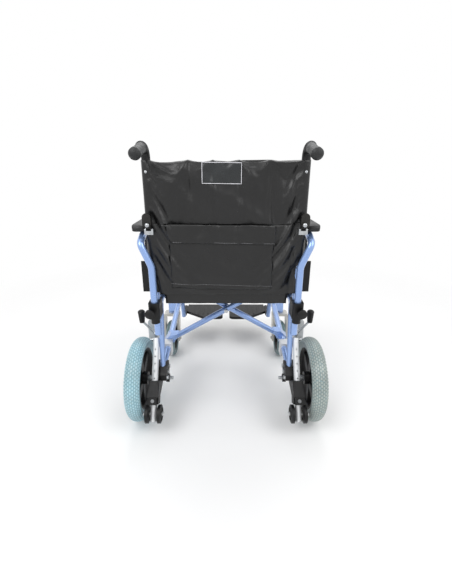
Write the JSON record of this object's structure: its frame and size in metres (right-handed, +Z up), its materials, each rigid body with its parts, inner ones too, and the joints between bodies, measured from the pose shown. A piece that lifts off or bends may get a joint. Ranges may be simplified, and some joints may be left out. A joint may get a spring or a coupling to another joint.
{
  "type": "transport wheelchair",
  "caption": "Attendant-pushed folding wheelchair with small rear wheels, cross brace, half-fold back, lift-off armrests, swing-away leg rests and anti-tippers.",
  "frame": {"origin": "on the floor, at the middle of the chair's width and length", "axes": "+Z up, +Y the way the chair drives, +X the sitter's right"},
  "size_m": [0.702, 0.906, 0.9628],
  "materials": {
    "frame_paint": "satin powder coat, pale blue",
    "bright_metal": "zinc and nickel plated",
    "silver_metal": "satin silver",
    "black_plastic": "moulded, fine grain",
    "grip_rubber": "moulded",
    "tyre_rubber": "matt grey green",
    "nylon_fabric": "coated woven nylon",
    "pad_foam": "skinned foam",
    "bare_button": "moulded grey"
  },
  "bodies": {
    "left_frame": {"left_side_frame": "frame_paint", "left_rear_axle": "bright_metal", "left_axle_carrier": "black_plastic", "left_armrest_sockets": "black_plastic", "left_brake_body": "silver_metal", "left_seat_receivers": "black_plastic", "left_hinge_bracket": "bright_metal", "back_lower": "nylon_fabric"},
    "left_cross_brace": {"left_brace": "frame_paint", "centre_bolt": "bright_metal", "seat_sling": "nylon_fabric"},
    "left_upper_back": {"left_upper_cane": "frame_paint", "left_grip": "grip_rubber", "back_upper": "nylon_fabric"},
    "left_back_lever": {"left_hinge_lever": "bright_metal"},
    "left_wheel": {"left_rear_rim": "black_plastic", "left_rear_tyre": "tyre_rubber"},
    "left_hand_nut": {"left_axle_knob": "black_plastic"},
    "left_castor": {"left_castor_fork": "black_plastic"},
    "left_castor_wheel": {"left_castor_rim": "black_plastic", "left_castor_tyre": "tyre_rubber"},
    "left_antitip": {"left_antitip_stem": "silver_metal"},
    "left_antitip_rollers": {"left_antitip_wheels": "black_plastic"},
    "left_antitip_catch": {"left_antitip_button": "bare_button"},
    "left_armrest": {"left_armrest_tube": "frame_paint", "left_armrest_pad": "pad_foam", "left_side_panel": "black_plastic"},
    "left_socket_screw": {"left_socket_knob": "black_plastic"},
    "left_brake": {"left_brake_lever": "bright_metal", "left_brake_grip": "grip_rubber"},
    "left_leg_rest": {"left_hanger": "frame_paint"},
    "left_foot_rest": {"left_footplate": "black_plastic"},
    "right_frame": {"right_side_frame": "frame_paint", "right_rear_axle": "bright_metal", "right_axle_carrier": "black_plastic", "right_armrest_sockets": "black_plastic", "right_brake_body": "silver_metal", "right_seat_receivers": "black_plastic", "right_hinge_bracket": "bright_metal"},
    "right_cross_brace": {"right_brace": "frame_paint"},
    "right_upper_back": {"right_upper_cane": "frame_paint", "right_grip": "grip_rubber"},
    "right_back_lever": {"right_hinge_lever": "bright_metal"},
    "right_wheel": {"right_rear_rim": "black_plastic", "right_rear_tyre": "tyre_rubber"},
    "right_hand_nut": {"right_axle_knob": "black_plastic"},
    "right_castor": {"right_castor_fork": "black_plastic"},
    "right_castor_wheel": {"right_castor_rim": "black_plastic", "right_castor_tyre": "tyre_rubber"},
    "right_antitip": {"right_antitip_stem": "silver_metal"},
    "right_antitip_rollers": {"right_antitip_wheels": "black_plastic"},
    "right_antitip_catch": {"right_antitip_button": "bare_button"},
    "right_armrest": {"right_armrest_tube": "frame_paint", "right_armrest_pad": "pad_foam", "right_side_panel": "black_plastic"},
    "right_socket_screw": {"right_socket_knob": "black_plastic"},
    "right_brake": {"right_brake_lever": "bright_metal", "right_brake_grip": "grip_rubber"},
    "right_leg_rest": {"right_hanger": "frame_paint"},
    "right_foot_rest": {"right_footplate": "black_plastic"}
  },
  "joints": [
    {"name": "cross_fold", "type": "hinge", "parent": "left_frame", "child": "left_cross_brace", "pos_m": [-0.229, -0.113, 0.23067], "axis": [0, -0.9877, -0.1564], "range_deg": [0, 40], "deforming": ["seat_sling", "back_lower", "back_upper"]},
    {"name": "brace_cross", "type": "hinge", "parent": "left_cross_brace", "child": "right_cross_brace", "pos_m": [0, -0.13582, 0.37476], "axis": [0, -0.9877, -0.1564], "range_deg": [-80, 0]},
    {"name": "right_fold", "type": "hinge", "parent": "right_cross_brace", "child": "right_frame", "pos_m": [0.229, -0.113, 0.23067], "axis": [0, -0.9877, -0.1564], "range_deg": [0, 40]},
    {"name": "left_back_fold", "type": "hinge", "parent": "left_frame", "child": "left_upper_back", "pos_m": [-0.229, -0.352, 0.717], "axis": [1, 0, 0], "range_deg": [0, 90]},
    {"name": "left_lever_turn", "type": "hinge", "parent": "left_upper_back", "child": "left_back_lever", "pos_m": [-0.23, -0.361, 0.7355], "axis": [0, -1, 0], "range_deg": [0, 35]},
    {"name": "left_wheel_spin", "type": "hinge", "parent": "left_frame", "child": "left_wheel", "pos_m": [-0.316, -0.278, 0.151], "axis": [1, 0, 0], "continuous": true},
    {"name": "left_hand_nut_turn", "type": "hinge", "parent": "left_frame", "child": "left_hand_nut", "pos_m": [-0.225, -0.278, 0.151], "axis": [1, 0, 0], "continuous": true},
    {"name": "left_castor_swivel", "type": "hinge", "parent": "left_frame", "child": "left_castor", "pos_m": [-0.268, 0.172, 0.2], "axis": [0, 0, 1], "continuous": true},
    {"name": "left_castor_spin", "type": "hinge", "parent": "left_castor", "child": "left_castor_wheel", "pos_m": [-0.268, 0.147, 0.088], "axis": [1, 0, 0], "continuous": true},
    {"name": "left_antitip_slide", "type": "slide", "parent": "left_frame", "child": "left_antitip", "axis": [0, -0.4879, -0.8729], "range_m": [0, 0.05]},
    {"name": "left_antitip_spin", "type": "hinge", "parent": "left_antitip", "child": "left_antitip_rollers", "pos_m": [-0.2505, -0.39629, 0.08695], "axis": [1, 0, 0], "continuous": true},
    {"name": "left_button_press", "type": "slide", "parent": "left_frame", "child": "left_antitip_catch", "axis": [0, 0.8729, -0.4879], "range_m": [0, 0.003], "stiffness_N_per_m": 400, "springref_m": -0.002},
    {"name": "left_armrest_lift", "type": "slide", "parent": "left_frame", "child": "left_armrest", "axis": [0, 0, 1], "range_m": [0, 0.032]},
    {"name": "left_socket_screw_turn", "type": "hinge", "parent": "left_frame", "child": "left_socket_screw", "pos_m": [-0.239, -0.37, 0.46], "axis": [0, 1, 0], "continuous": true},
    {"name": "left_brake_throw", "type": "hinge", "parent": "left_frame", "child": "left_brake", "pos_m": [-0.285, -0.132, 0.257], "axis": [-1, 0, 0], "range_deg": [0, 24]},
    {"name": "left_leg_rest_swing", "type": "hinge", "parent": "left_frame", "child": "left_leg_rest", "pos_m": [-0.229, 0.159, 0.39], "axis": [0, 0, 1], "range_deg": [0, 90]},
    {"name": "left_foot_rest_flip", "type": "hinge", "parent": "left_leg_rest", "child": "left_foot_rest", "pos_m": [-0.229, 0.35, 0.13], "axis": [0, -1, 0], "range_deg": [0, 90]},
    {"name": "right_back_fold", "type": "hinge", "parent": "right_frame", "child": "right_upper_back", "pos_m": [0.229, -0.352, 0.717], "axis": [1, 0, 0], "range_deg": [0, 90]},
    {"name": "right_lever_turn", "type": "hinge", "parent": "right_upper_back", "child": "right_back_lever", "pos_m": [0.23, -0.361, 0.7355], "axis": [0, 1, 0], "range_deg": [0, 35]},
    {"name": "right_wheel_spin", "type": "hinge", "parent": "right_frame", "child": "right_wheel", "pos_m": [0.316, -0.278, 0.151], "axis": [1, 0, 0], "continuous": true},
    {"name": "right_hand_nut_turn", "type": "hinge", "parent": "right_frame", "child": "right_hand_nut", "pos_m": [0.225, -0.278, 0.151], "axis": [1, 0, 0], "continuous": true},
    {"name": "right_castor_swivel", "type": "hinge", "parent": "right_frame", "child": "right_castor", "pos_m": [0.268, 0.172, 0.2], "axis": [0, 0, 1], "continuous": true},
    {"name": "right_castor_spin", "type": "hinge", "parent": "right_castor", "child": "right_castor_wheel", "pos_m": [0.268, 0.147, 0.088], "axis": [1, 0, 0], "continuous": true},
    {"name": "right_antitip_slide", "type": "slide", "parent": "right_frame", "child": "right_antitip", "axis": [0, -0.4879, -0.8729], "range_m": [0, 0.05]},
    {"name": "right_antitip_spin", "type": "hinge", "parent": "right_antitip", "child": "right_antitip_rollers", "pos_m": [0.2505, -0.39629, 0.08695], "axis": [1, 0, 0], "continuous": true},
    {"name": "right_button_press", "type": "slide", "parent": "right_frame", "child": "right_antitip_catch", "axis": [0, 0.8729, -0.4879], "range_m": [0, 0.003], "stiffness_N_per_m": 400, "springref_m": -0.002},
    {"name": "right_armrest_lift", "type": "slide", "parent": "right_frame", "child": "right_armrest", "axis": [0, 0, 1], "range_m": [0, 0.032]},
    {"name": "right_socket_screw_turn", "type": "hinge", "parent": "right_frame", "child": "right_socket_screw", "pos_m": [0.239, -0.37, 0.46], "axis": [0, 1, 0], "continuous": true},
    {"name": "right_brake_throw", "type": "hinge", "parent": "right_frame", "child": "right_brake", "pos_m": [0.285, -0.132, 0.257], "axis": [-1, 0, 0], "range_deg": [0, 24]},
    {"name": "right_leg_rest_swing", "type": "hinge", "parent": "right_frame", "child": "right_leg_rest", "pos_m": [0.229, 0.159, 0.39], "axis": [0, 0, -1], "range_deg": [0, 90]},
    {"name": "right_foot_rest_flip", "type": "hinge", "parent": "right_leg_rest", "child": "right_foot_rest", "pos_m": [0.229, 0.35, 0.13], "axis": [0, 1, 0], "range_deg": [0, 90]}
  ],
  "couplings": [
    {"joint": "brace_cross", "follows": "cross_fold", "ratio": -2},
    {"joint": "right_fold", "follows": "cross_fold", "ratio": 1},
    {"joint": "left_foot_rest_flip", "follows": "cross_fold", "ratio": 2.25},
    {"joint": "right_foot_rest_flip", "follows": "cross_fold", "ratio": 2.25},
    {"joint": "right_back_fold", "follows": "left_back_fold", "ratio": 1}
  ]
}
